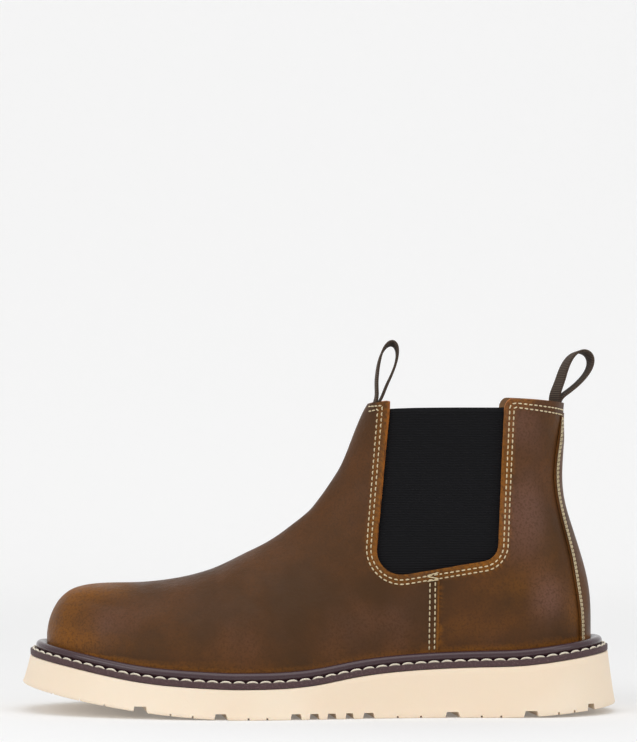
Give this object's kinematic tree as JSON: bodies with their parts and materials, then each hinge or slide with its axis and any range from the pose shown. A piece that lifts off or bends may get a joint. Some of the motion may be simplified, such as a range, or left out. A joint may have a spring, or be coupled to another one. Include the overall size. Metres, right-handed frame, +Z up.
{
  "type": "wedge sole work boot",
  "caption": "Pull-on ankle work boot in oiled brown leather, with black elastic sides, webbing pull loops, a stitched dark welt and a cream wedge sole.",
  "frame": {"origin": "On the floor, under the middle of the outsole's length and width.", "axes": "+Z is up. The toe points to -X and the heel to +X. The outer side of the left foot is at -Y and the inner side at +Y."},
  "size_m": [0.3099, 0.1225, 0.1933],
  "materials": {
    "leather": "oiled pull-up leather, brown with lighter orange-brown where it is stretched, satin",
    "elastic": "matte black elastic with fine level ribs",
    "welt": "dark brown, glossy bead and a matte cut edge",
    "foam": "cream microcellular rubber, matte",
    "webbing": "dark taupe woven tape, matte",
    "board": "plain tan insole board, matte"
  },
  "bodies": {
    "root": {"outsole": "foam", "welt": "welt", "insole": "board", "upper": "leather", "gore_outer": "elastic", "gore_inner": "elastic", "back_strip": "leather", "front_pull_loop": "webbing", "rear_pull_loop": "webbing"}
  },
  "joints": []
}
